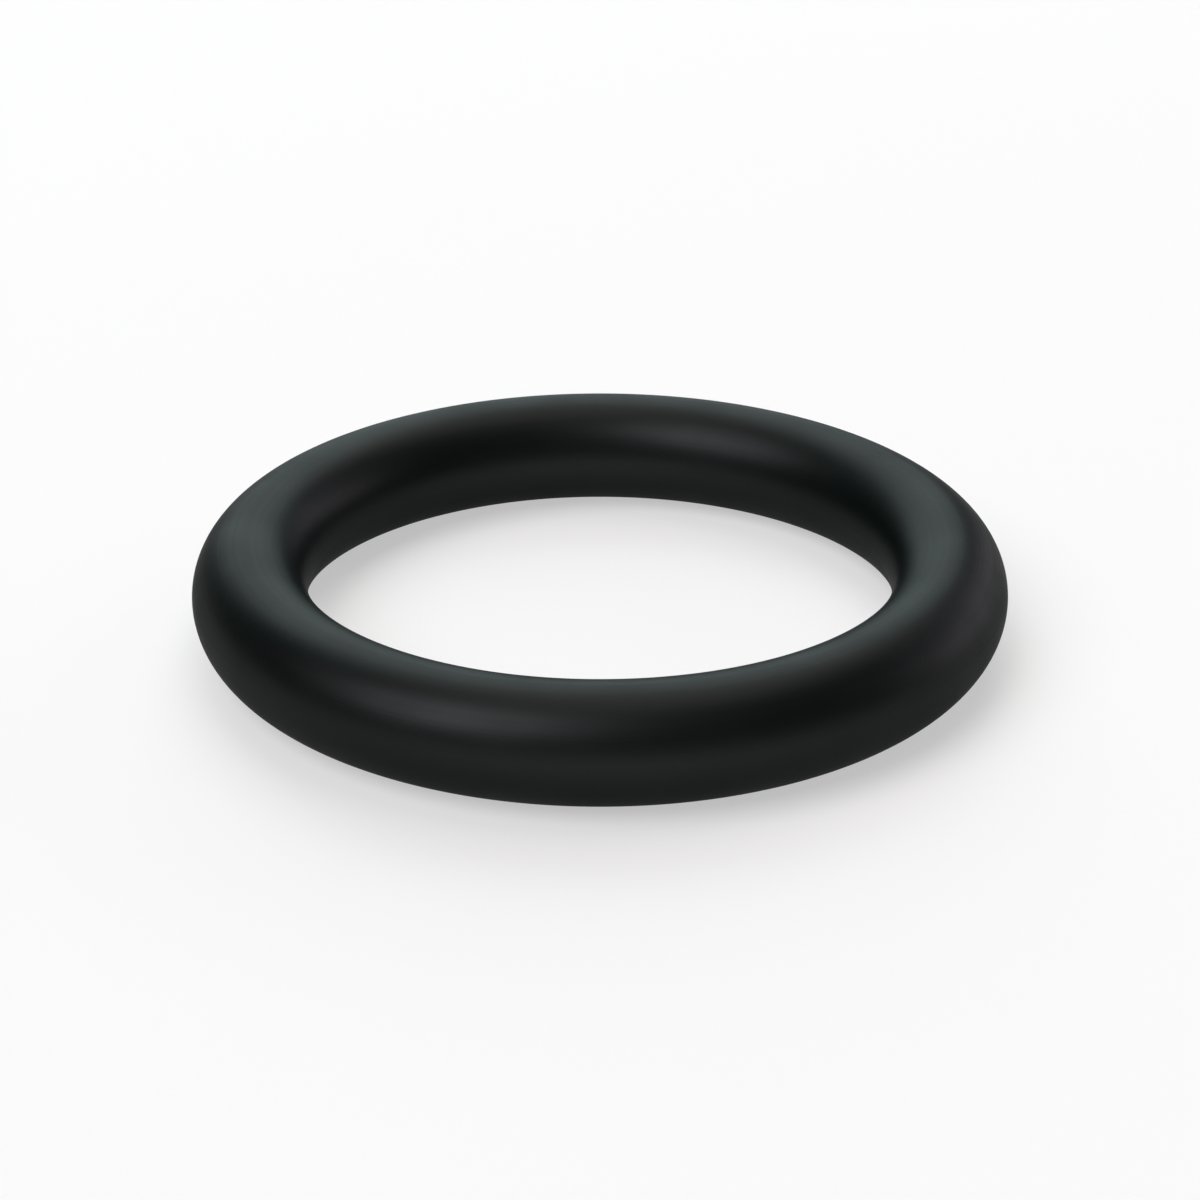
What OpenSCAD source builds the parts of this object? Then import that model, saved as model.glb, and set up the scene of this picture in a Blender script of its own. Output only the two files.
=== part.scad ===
// Rubber O-ring: one moulded solid, a round section carried once round a circle.
// Millimetres. The origin is the centre of the ring, in its middle plane, and +Z is the ring's axis.
// The sizes below make the metric stock size 18 x 3.55.

/* [Ring] */
// Inside diameter, across the hole at the middle plane
inner_d = 18; // [4:0.1:100]
// Diameter of the round section
section_d = 3.55; // [1:0.05:8.4]

/* [Smoothness] */
// Flat steps that draw one turn of the ring
ring_steps = 120; // [48:12:360]
// Flat steps that draw the round section
section_steps = 48; // [24:4:96]

/* [Hidden] */

// From the ring's axis to the middle of its section
section_centre_r = (inner_d + section_d) / 2;
// Black rubber as it leaves the mould
rubber_black = [0.13, 0.14, 0.14];

// The round section, beside the axis it is turned about
module section() {
    translate([section_centre_r, 0])
        circle(d = section_d, $fn = section_steps);
}

// The whole ring, lying flat: the section turned once about the axis
module o_ring() {
    color(rubber_black)
        rotate_extrude($fn = ring_steps)
            section();
}

o_ring();
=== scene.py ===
"""Dresses the rubber O-ring and sets up its picture.

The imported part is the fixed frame. A finely turned ring of satin black rubber stands for the plain CAD ring,
on white paper under four soft boxes, seen by the camera that was fitted to the photograph.
"""

import logging
import math
from collections.abc import Iterable
from dataclasses import dataclass, field
from enum import Enum

import bmesh
import bpy
from mathutils import Matrix, Vector


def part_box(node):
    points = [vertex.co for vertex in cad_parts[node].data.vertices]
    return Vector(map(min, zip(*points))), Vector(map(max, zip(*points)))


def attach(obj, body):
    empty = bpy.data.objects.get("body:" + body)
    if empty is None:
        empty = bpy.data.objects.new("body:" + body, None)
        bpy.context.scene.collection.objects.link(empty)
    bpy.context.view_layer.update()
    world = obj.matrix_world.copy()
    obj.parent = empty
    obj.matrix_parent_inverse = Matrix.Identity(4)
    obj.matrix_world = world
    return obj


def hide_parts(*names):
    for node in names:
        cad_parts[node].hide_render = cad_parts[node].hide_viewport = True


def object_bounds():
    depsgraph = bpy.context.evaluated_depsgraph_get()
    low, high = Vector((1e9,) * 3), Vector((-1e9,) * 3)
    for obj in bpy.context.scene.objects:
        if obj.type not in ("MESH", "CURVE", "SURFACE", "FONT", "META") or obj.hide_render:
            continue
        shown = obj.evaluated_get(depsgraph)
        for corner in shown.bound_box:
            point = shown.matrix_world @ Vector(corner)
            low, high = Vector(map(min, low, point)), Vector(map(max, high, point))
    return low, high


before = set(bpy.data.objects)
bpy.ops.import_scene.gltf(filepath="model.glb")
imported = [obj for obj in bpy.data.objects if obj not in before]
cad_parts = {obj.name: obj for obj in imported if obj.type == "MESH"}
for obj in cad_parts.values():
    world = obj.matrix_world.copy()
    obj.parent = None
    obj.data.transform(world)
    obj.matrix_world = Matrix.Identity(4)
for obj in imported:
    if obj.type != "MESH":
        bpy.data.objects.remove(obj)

Colour = tuple[float, float, float]
Range = tuple[float, float]
Socket = bpy.types.NodeSocket

CAD_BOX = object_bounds()
MM = 0.001
QUARTER_TURN = math.pi / 2
RING_CENTRE = (0.0, 0.0, 0.0)
RING_AXIS = (0.0, 0.0, 1.0)
WHITE: Colour = (1.0, 1.0, 1.0)

log = logging.getLogger("o_ring_scene")


def opaque(colour: Iterable[float]) -> tuple[float, ...]:
    """Gives a colour its full cover, as a colour socket takes it."""
    return (*colour, 1.0)


def finished_mesh(name: str, shape: bmesh.types.BMesh) -> bpy.types.Mesh:
    """Turns a worked shape into a mesh, and lets the shape go.

    Args:
        name: the mesh's name.
        shape: the shape, which is gone afterwards.

    Returns:
        The new mesh.
    """
    mesh = bpy.data.meshes.new(name)
    shape.to_mesh(mesh)
    shape.free()
    return mesh


def put_in_scene(name: str, data: bpy.types.ID) -> bpy.types.Object:
    """Makes an object and puts it in the scene.

    Args:
        name: the object's name.
        data: its mesh, lamp or camera.

    Returns:
        The new object.
    """
    thing = bpy.data.objects.new(name, data)
    bpy.context.scene.collection.objects.link(thing)
    return thing


class LampFace(Enum):
    """The outline of a soft box's face."""

    ROUND = "DISK"
    OBLONG = "RECTANGLE"


class Wiring:
    """Adds nodes to one material or world, and joins them.

    Attributes:
        NOISE_DETAIL: how many finer layers a noise has on top of its first.
        NOISE_FINENESS: strength of each layer of a noise, as a share of the one before.
        EVEN_BLEND: the blend at which a Layer Weight node's Facing falls evenly from edge-on to square.
    """

    NOISE_DETAIL: float = 2.0
    NOISE_FINENESS: float = 0.5
    EVEN_BLEND: float = 0.5

    def __init__(self, owner: bpy.types.Material | bpy.types.World) -> None:
        """Empties the owner's node tree and keeps it.

        Args:
            owner: the material or world whose nodes are made here.
        """
        owner.use_nodes = True
        self.tree = owner.node_tree
        self.tree.nodes.clear()

    def add(self, kind: str, **sockets: float | tuple[float, ...]) -> bpy.types.Node:
        """Adds one node and sets its sockets.

        Args:
            kind: the node's type, such as ShaderNodeBump.
            sockets: values by socket name, with an underscore for each space in it.

        Returns:
            The new node.
        """
        node = self.tree.nodes.new(kind)
        for name, value in sockets.items():
            node.inputs[name.replace("_", " ")].default_value = value
        return node

    def join(self, source: Socket, target: Socket) -> None:
        """Joins an output socket to an input socket."""
        self.tree.links.new(source, target)

    def reckon(self, operation: str, *terms: float | Socket) -> Socket:
        """Adds a Math node.

        Args:
            operation: the node's operation, such as MULTIPLY.
            terms: its values in order, each a number or the socket that gives it.

        Returns:
            The socket with the result.
        """
        node = self.add("ShaderNodeMath")
        node.operation = operation
        for socket, term in zip(node.inputs, terms):
            if isinstance(term, Socket):
                self.join(term, socket)
            else:
                socket.default_value = term
        return node.outputs["Value"]

    def carry_over(self, value: Socket, source: Range, target: Range) -> Socket:
        """Carries a value from one range over to another, and holds it there.

        Args:
            value: the socket with the value.
            source: the range that the value comes in.
            target: the range that it goes out in.

        Returns:
            The socket with the result.
        """
        node = self.add(
            "ShaderNodeMapRange", From_Min=source[0], From_Max=source[1], To_Min=target[0], To_Max=target[1]
        )
        self.join(value, node.inputs["Value"])
        return node.outputs["Result"]

    def noise(self, place: Socket, size: float) -> Socket:
        """Adds an even noise.

        Args:
            place: the coordinates that it is laid out on, in metres.
            size: width of one speck, in metres.

        Returns:
            The socket with the noise, which runs round 0.5.
        """
        noise = self.add(
            "ShaderNodeTexNoise", Scale=1 / size, Detail=self.NOISE_DETAIL, Roughness=self.NOISE_FINENESS
        )
        self.join(place, noise.inputs["Vector"])
        return noise.outputs["Fac"]

    def squareness(self) -> Socket:
        """Tells how squarely the surface faces the eye: 0 where it is edge-on and 1 where it is square."""
        turned_away = self.add("ShaderNodeLayerWeight", Blend=self.EVEN_BLEND).outputs["Facing"]
        return self.reckon("SUBTRACT", 1.0, turned_away)

    def finish(self, shader: Socket, output: str) -> None:
        """Joins the finished shader to the surface, on an output node of the given type."""
        self.join(shader, self.add(output).inputs["Surface"])


@dataclass(frozen=True)
class SatinRubber:
    """Black rubber as it comes out of a finely turned mould.

    The cavity of the mould is turned on a lathe, so its marks run round the ring as faint, fine lines.

    Attributes:
        name: the material's name.
        colour: the rubber under plain light.
        colour_drift: how far the mix runs lighter and darker, as a share of the colour.
        roughness: the mean roughness of the skin.
        roughness_drift: how far the roughness wanders to each side.
        refraction: the refractive index.
        gloss: strength of the reflection where the skin faces the eye, where 0.5 is a plain plastic's.
        gloss_at_rim: strength of the reflection where the skin lies edge-on to the eye.
        gloss_fall: how steeply the gloss falls between the two, where 1 is an even fall.
        noise_spread: the two values that most of a noise lies between.
        cloud_size: width of the cloudy patches in the mix, in metres.
        line_pitch: spacing of the turning lines, in metres.
        line_height: how far a turning line stands proud, in metres.
        pip_size: width of the pips in the skin, in metres.
        pip_height: how far a pip stands proud, in metres.
    """

    name: str = "satin_black_rubber"
    colour: Colour = (0.0006, 0.0022, 0.0018)
    colour_drift: float = 0.10
    roughness: float = 0.45
    roughness_drift: float = 0.05
    refraction: float = 1.5
    gloss: float = 0.34
    gloss_at_rim: float = 0.01
    gloss_fall: float = 2.7
    noise_spread: Range = (0.3, 0.7)
    cloud_size: float = 2.4 * MM
    line_pitch: float = 0.05 * MM
    line_height: float = 0.0010 * MM
    pip_size: float = 0.09 * MM
    pip_height: float = 0.0016 * MM

    def material(self) -> bpy.types.Material:
        """Builds the rubber's material.

        Returns:
            The finished material.
        """
        rubber = bpy.data.materials.new(self.name)
        board = Wiring(rubber)
        place = board.add("ShaderNodeTexCoord").outputs["Object"]
        clouds = board.noise(place, self.cloud_size)
        pips = board.noise(place, self.pip_size)
        lines = board.noise(self.across_the_section(board, place), self.line_pitch)
        skin = board.add("ShaderNodeBsdfPrincipled", IOR=self.refraction)
        board.join(self.tint(board, clouds), skin.inputs["Base Color"])
        board.join(self.dullness(board, clouds, lines), skin.inputs["Roughness"])
        board.join(self.shine(board), skin.inputs["Specular IOR Level"])
        board.join(self.relief(board, lines, pips), skin.inputs["Normal"])
        board.finish(skin.outputs["BSDF"], "ShaderNodeOutputMaterial")
        return rubber

    @staticmethod
    def across_the_section(board: Wiring, place: Socket) -> Socket:
        """Turns a place into its distance from the ring's axis and its height.

        Args:
            board: the material's nodes.
            place: the Object coordinates.

        Returns:
            Coordinates that change only across the section, so that a pattern on them runs round the ring.
        """
        split = board.add("ShaderNodeSeparateXYZ")
        board.join(place, split.inputs["Vector"])
        square_x = board.reckon("MULTIPLY", split.outputs["X"], split.outputs["X"])
        square_y = board.reckon("MULTIPLY", split.outputs["Y"], split.outputs["Y"])
        distance = board.reckon("SQRT", board.reckon("ADD", square_x, square_y))
        section = board.add("ShaderNodeCombineXYZ")
        board.join(distance, section.inputs["X"])
        board.join(split.outputs["Z"], section.inputs["Z"])
        return section.outputs["Vector"]

    def tint(self, board: Wiring, clouds: Socket) -> Socket:
        """Colours the mix, a little darker and lighter in its clouds.

        Args:
            board: the material's nodes.
            clouds: the cloudy noise.

        Returns:
            The socket with the colour.
        """
        ramp = board.add("ShaderNodeValToRGB")
        board.join(clouds, ramp.inputs["Fac"])
        dark, light = ramp.color_ramp.elements
        dark.position, light.position = self.noise_spread
        dark.color = opaque(part * (1 - self.colour_drift) for part in self.colour)
        light.color = opaque(part * (1 + self.colour_drift) for part in self.colour)
        return ramp.outputs["Color"]

    def dullness(self, board: Wiring, clouds: Socket, lines: Socket) -> Socket:
        """Lets the roughness wander with the clouds and from one turning line to the next.

        Args:
            board: the material's nodes.
            clouds: the cloudy noise.
            lines: the noise of the turning lines.

        Returns:
            The socket with the roughness.
        """
        mean = board.reckon("DIVIDE", board.reckon("ADD", clouds, lines), 2.0)
        spread = (self.roughness - self.roughness_drift, self.roughness + self.roughness_drift)
        return board.carry_over(mean, self.noise_spread, spread)

    def shine(self, board: Wiring) -> Socket:
        """Lets the gloss fade towards the rims, which are dark in the photograph."""
        share_left = board.reckon("POWER", board.squareness(), self.gloss_fall)
        return board.carry_over(share_left, (0.0, 1.0), (self.gloss_at_rim, self.gloss))

    def relief(self, board: Wiring, lines: Socket, pips: Socket) -> Socket:
        """Raises the turning lines and the pips.

        Args:
            board: the material's nodes.
            lines: the noise of the turning lines.
            pips: the noise of the pips.

        Returns:
            The socket with the surface's normal.
        """
        turned = board.add("ShaderNodeBump", Strength=1.0, Distance=self.line_height)
        board.join(lines, turned.inputs["Height"])
        pipped = board.add("ShaderNodeBump", Strength=1.0, Distance=self.pip_height)
        board.join(pips, pipped.inputs["Height"])
        board.join(turned.outputs["Normal"], pipped.inputs["Normal"])
        return pipped.outputs["Normal"]


@dataclass(frozen=True)
class WhitePaper:
    """Matt white paper for the floor of the studio, with plain white mixed in where it is looked at.

    Attributes:
        name: the material's name.
        colour: the paper under plain light.
        whitening: the share of plain white in what the eye sees of the paper. It lights nothing.
    """

    name: str = "matt_white_paper"
    colour: Colour = (0.92, 0.90, 0.89)
    whitening: float = 0.5

    def material(self) -> bpy.types.Material:
        """Builds the paper's material.

        Returns:
            The finished material.
        """
        paper = bpy.data.materials.new(self.name)
        paper.cycles.emission_sampling = "NONE"
        board = Wiring(paper)
        matt = board.add("ShaderNodeBsdfDiffuse", Color=opaque(self.colour))
        white = board.add("ShaderNodeEmission", Color=opaque(WHITE), Strength=1.0)
        seen = board.add("ShaderNodeMixShader")
        share, first, second = seen.inputs
        board.join(self.share_of_white(board), share)
        board.join(matt.outputs["BSDF"], first)
        board.join(white.outputs["Emission"], second)
        board.finish(seen.outputs["Shader"], "ShaderNodeOutputMaterial")
        return paper

    def share_of_white(self, board: Wiring) -> Socket:
        """Tells what the eye looks at, by way of gloss or glass too, from what only carries light.

        Args:
            board: the material's nodes.

        Returns:
            The socket with the share of plain white.
        """
        ray = board.add("ShaderNodeLightPath").outputs
        by_gloss_or_glass = board.reckon("MAXIMUM", ray["Is Glossy Ray"], ray["Is Transmission Ray"])
        looked_at = board.reckon("MAXIMUM", ray["Is Camera Ray"], by_gloss_or_glass)
        return board.reckon("MULTIPLY", looked_at, self.whitening)


@dataclass
class MouldedRing:
    """The O-ring: a round section of rubber carried once round the ring's axis.

    Attributes:
        outer_radius: from the axis to the outermost point, in metres.
        section_radius: half the diameter of the section, in metres.
        node: the CAD node that it stands for.
        name: the piece's name.
        skin_map: the name of the map of its skin.
        turn_steps: flat steps in one turn of the ring.
        section_steps: flat steps round the section.
        weld_share: points nearer than this share of the section's radius are made one.
        rubber: the finish of its skin.
    """

    outer_radius: float
    section_radius: float
    node: str
    name: str = "moulded_o_ring"
    skin_map: str = "OFBake"
    turn_steps: int = 288
    section_steps: int = 96
    weld_share: float = 0.001
    rubber: SatinRubber = field(default_factory=SatinRubber)

    @classmethod
    def from_cad(cls, node: str) -> "MouldedRing":
        """Makes a ring of the size that the CAD node's box has."""
        low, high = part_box(node)
        return cls(outer_radius=(high.x - low.x) / 2, section_radius=(high.z - low.z) / 2, node=node)

    @property
    def centre_radius(self) -> float:
        """From the ring's axis to the middle of its section, in metres."""
        return self.outer_radius - self.section_radius

    def place_on_skin(self, spot: Vector) -> tuple[float, float]:
        """Finds a spot on the ring's skin.

        Args:
            spot: a point on the skin.

        Returns:
            How far round the ring it lies and how far round the section, each as a share of one turn.
        """
        round_ring = math.atan2(spot.y, spot.x) / math.tau
        outwards = math.hypot(spot.x, spot.y) - self.centre_radius
        round_section = math.atan2(spot.z, outwards) / math.tau
        return round_ring % 1, round_section % 1

    def map_skin(self, shape: bmesh.types.BMesh) -> None:
        """Unrolls the skin onto its map, so that each face keeps together where the map's ends meet.

        Args:
            shape: the ring.
        """
        layer = shape.loops.layers.uv.new(self.skin_map)
        for face in shape.faces:
            middle = self.place_on_skin(face.calc_center_median())
            for corner in face.loops:
                spot = self.place_on_skin(corner.vert.co)
                corner[layer].uv = [near + round(mid - near) for near, mid in zip(spot, middle)]

    def turned_mesh(self) -> bpy.types.Mesh:
        """Turns the section once round the axis.

        Returns:
            The closed mesh, with its faces outwards and its skin mapped.
        """
        shape = bmesh.new()
        bmesh.ops.create_circle(shape, segments=self.section_steps, radius=self.section_radius)
        upright = Matrix.Rotation(QUARTER_TURN, 3, "X")
        bmesh.ops.rotate(shape, verts=shape.verts, cent=RING_CENTRE, matrix=upright)
        bmesh.ops.translate(shape, verts=shape.verts, vec=(self.centre_radius, 0.0, 0.0))
        bmesh.ops.spin(
            shape,
            geom=shape.verts[:] + shape.edges[:],
            cent=RING_CENTRE,
            axis=RING_AXIS,
            angle=math.tau,
            steps=self.turn_steps,
            use_merge=True,
        )
        weld_width = self.section_radius * self.weld_share
        bmesh.ops.remove_doubles(shape, verts=shape.verts, dist=weld_width)
        bmesh.ops.recalc_face_normals(shape, faces=shape.faces)
        self.map_skin(shape)
        for face in shape.faces:
            face.smooth = True
        return finished_mesh(self.name, shape)

    def build(self) -> bpy.types.Object:
        """Makes the ring, dresses it and puts it in place of its CAD node.

        Returns:
            The finished piece.
        """
        piece = put_in_scene(self.name, self.turned_mesh())
        piece.data.materials.append(self.rubber.material())
        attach(piece, "root")
        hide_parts(self.node)
        return piece


@dataclass(frozen=True)
class PaperFloor:
    """The sheet of paper that the ring lies on.

    Attributes:
        height: the level of its top, in metres.
        name: the floor's name.
        half_width: from its middle to its edge, in metres.
        paper: its finish.
    """

    height: float
    name: str = "paper_floor"
    half_width: float = 1.5
    paper: WhitePaper = field(default_factory=WhitePaper)

    def build(self) -> bpy.types.Object:
        """Lays the paper under the ring.

        Returns:
            The floor.
        """
        sheet = bmesh.new()
        bmesh.ops.create_grid(sheet, x_segments=1, y_segments=1, size=self.half_width)
        bmesh.ops.translate(sheet, verts=sheet.verts, vec=(0.0, 0.0, self.height))
        floor = put_in_scene(self.name, finished_mesh(self.name, sheet))
        floor.data.materials.append(self.paper.material())
        return floor


@dataclass(frozen=True)
class SoftBox:
    """A lamp with an even, soft face that is turned towards the ring.

    Attributes:
        name: the lamp's name.
        face: the outline of its face.
        azimuth: which way it stands, in degrees: 0 is the ring's right, 90 behind it and -90 in front.
        elevation: how high it stands, in degrees above the floor.
        width: width of its face, in metres.
        height: height of its face, in metres, the same as the width where the face is round.
        brightness: brightness of its face, where 1 is white in the picture.
        tint: the colour of its light.
        distance: from the ring's centre, in metres.
    """

    name: str
    face: LampFace
    azimuth: float
    elevation: float
    width: float
    height: float
    brightness: float
    tint: Colour
    distance: float = 1.0

    @property
    def face_area(self) -> float:
        """Area of the lamp's face, in square metres."""
        frame_area = self.width * self.height
        return frame_area * math.pi / 4 if self.face is LampFace.ROUND else frame_area

    @property
    def power(self) -> float:
        """Power of the lamp, in watts: a face that shines white gives pi watts from each square metre."""
        return self.brightness * self.face_area * math.pi

    @property
    def outwards(self) -> Vector:
        """The direction in which the lamp stands, seen from the ring."""
        azimuth, elevation = math.radians(self.azimuth), math.radians(self.elevation)
        level = math.cos(elevation)
        return Vector((level * math.cos(azimuth), level * math.sin(azimuth), math.sin(elevation)))

    def hang(self) -> bpy.types.Object:
        """Hangs the lamp and turns its face to the ring.

        Returns:
            The lamp.
        """
        light = bpy.data.lights.new(self.name, "AREA")
        light.shape = self.face.value
        light.size = self.width
        light.size_y = self.height
        light.energy = self.power
        light.color = self.tint
        lamp = put_in_scene(self.name, light)
        lamp.location = self.outwards * self.distance
        lamp.rotation_euler = self.outwards.to_track_quat("Z", "Y").to_euler()
        return lamp


@dataclass(frozen=True)
class PhotoCamera:
    """The camera, as fitted to the ring's edge and the hole's edge in the photograph.

    Attributes:
        elevation: how far it looks down, in degrees.
        distance: from the picture's centre to the camera, in metres.
        drop: how far below the ring's centre the picture's centre lies, across the view, in metres.
        lens: its focal length, in millimetres.
        sensor: width of its sensor, in millimetres.
        nearest: the nearest thing that it sees, in metres.
        name: the camera's name.
    """

    elevation: float = 25.45
    distance: float = 92.74 * MM
    drop: float = 0.669 * MM
    lens: float = 89.78
    sensor: float = 36.0
    nearest: float = 5 * MM
    name: str = "photo_camera"

    def set_up(self) -> bpy.types.Object:
        """Puts the camera in place and makes it the scene's own.

        Returns:
            The camera.
        """
        tilt = math.radians(self.elevation)
        backwards = Vector((0.0, -math.cos(tilt), math.sin(tilt)))
        upwards = Vector((0.0, math.sin(tilt), math.cos(tilt)))
        optics = bpy.data.cameras.new(self.name)
        optics.lens = self.lens
        optics.sensor_width = self.sensor
        optics.clip_start = self.nearest
        camera = put_in_scene(self.name, optics)
        camera.location = backwards * self.distance - upwards * self.drop
        camera.rotation_euler = (QUARTER_TURN - tilt, 0.0, 0.0)
        bpy.context.scene.camera = camera
        return camera


@dataclass
class Studio:
    """The floor, the lamps and the camera.

    Attributes:
        floor_height: the level that the ring lies on, in metres.
        fill: brightness of the room all round, where 1 is white.
        lamps: the soft boxes.
        camera: the camera.
    """

    floor_height: float
    fill: float = 0.1
    lamps: tuple[SoftBox, ...] = (
        SoftBox(
            name="key_soft_box",
            face=LampFace.ROUND,
            azimuth=-145.0,
            elevation=50.0,
            width=0.88,
            height=0.88,
            brightness=3.31,
            tint=(0.965, 0.95, 1.0),
        ),
        SoftBox(
            name="back_soft_box",
            face=LampFace.OBLONG,
            azimuth=97.0,
            elevation=24.5,
            width=0.80,
            height=0.92,
            brightness=3.20,
            tint=(0.84, 1.0, 1.0),
        ),
        SoftBox(
            name="high_back_soft_box",
            face=LampFace.OBLONG,
            azimuth=80.0,
            elevation=62.0,
            width=0.74,
            height=1.00,
            brightness=1.60,
            tint=(1.0, 0.97, 0.92),
        ),
        SoftBox(
            name="low_right_strip_box",
            face=LampFace.OBLONG,
            azimuth=39.0,
            elevation=11.5,
            width=0.92,
            height=0.41,
            brightness=2.43,
            tint=(0.97, 0.915, 1.0),
        ),
    )
    camera: PhotoCamera = field(default_factory=PhotoCamera)

    def fill_the_room(self) -> bpy.types.World:
        """Gives the room a plain, even fill.

        Returns:
            The world.
        """
        room = bpy.data.worlds.new("plain_room")
        board = Wiring(room)
        glow = board.add("ShaderNodeBackground", Color=opaque(WHITE), Strength=self.fill)
        board.finish(glow.outputs["Background"], "ShaderNodeOutputWorld")
        bpy.context.scene.world = room
        return room

    def build(self) -> None:
        """Sets up the camera, the floor, the room and the lamps, and reports each."""
        bpy.context.scene.view_settings.view_transform = "Standard"
        camera = self.camera.set_up()
        log.info("%s looks down at %.1f degrees", camera.name, self.camera.elevation)
        floor = PaperFloor(self.floor_height).build()
        log.info("%s lies at %.3f mm", floor.name, self.floor_height / MM)
        room = self.fill_the_room()
        log.info("%s is filled to %.2f of white", room.name, self.fill)
        for soft_box in self.lamps:
            lamp = soft_box.hang()
            log.info("%s hangs %.0f degrees up", lamp.name, soft_box.elevation)


def main() -> None:
    """Builds the ring and its studio, and reports each piece."""
    logging.basicConfig(level=logging.INFO, format="%(name)s: %(message)s")
    ring = MouldedRing.from_cad("o_ring")
    piece = ring.build()
    width = 2 * ring.outer_radius / MM
    log.info("%s has %d faces and is %.2f mm across", piece.name, len(piece.data.polygons), width)
    Studio(floor_height=CAD_BOX[0].z).build()


if __name__ == "__main__":
    main()
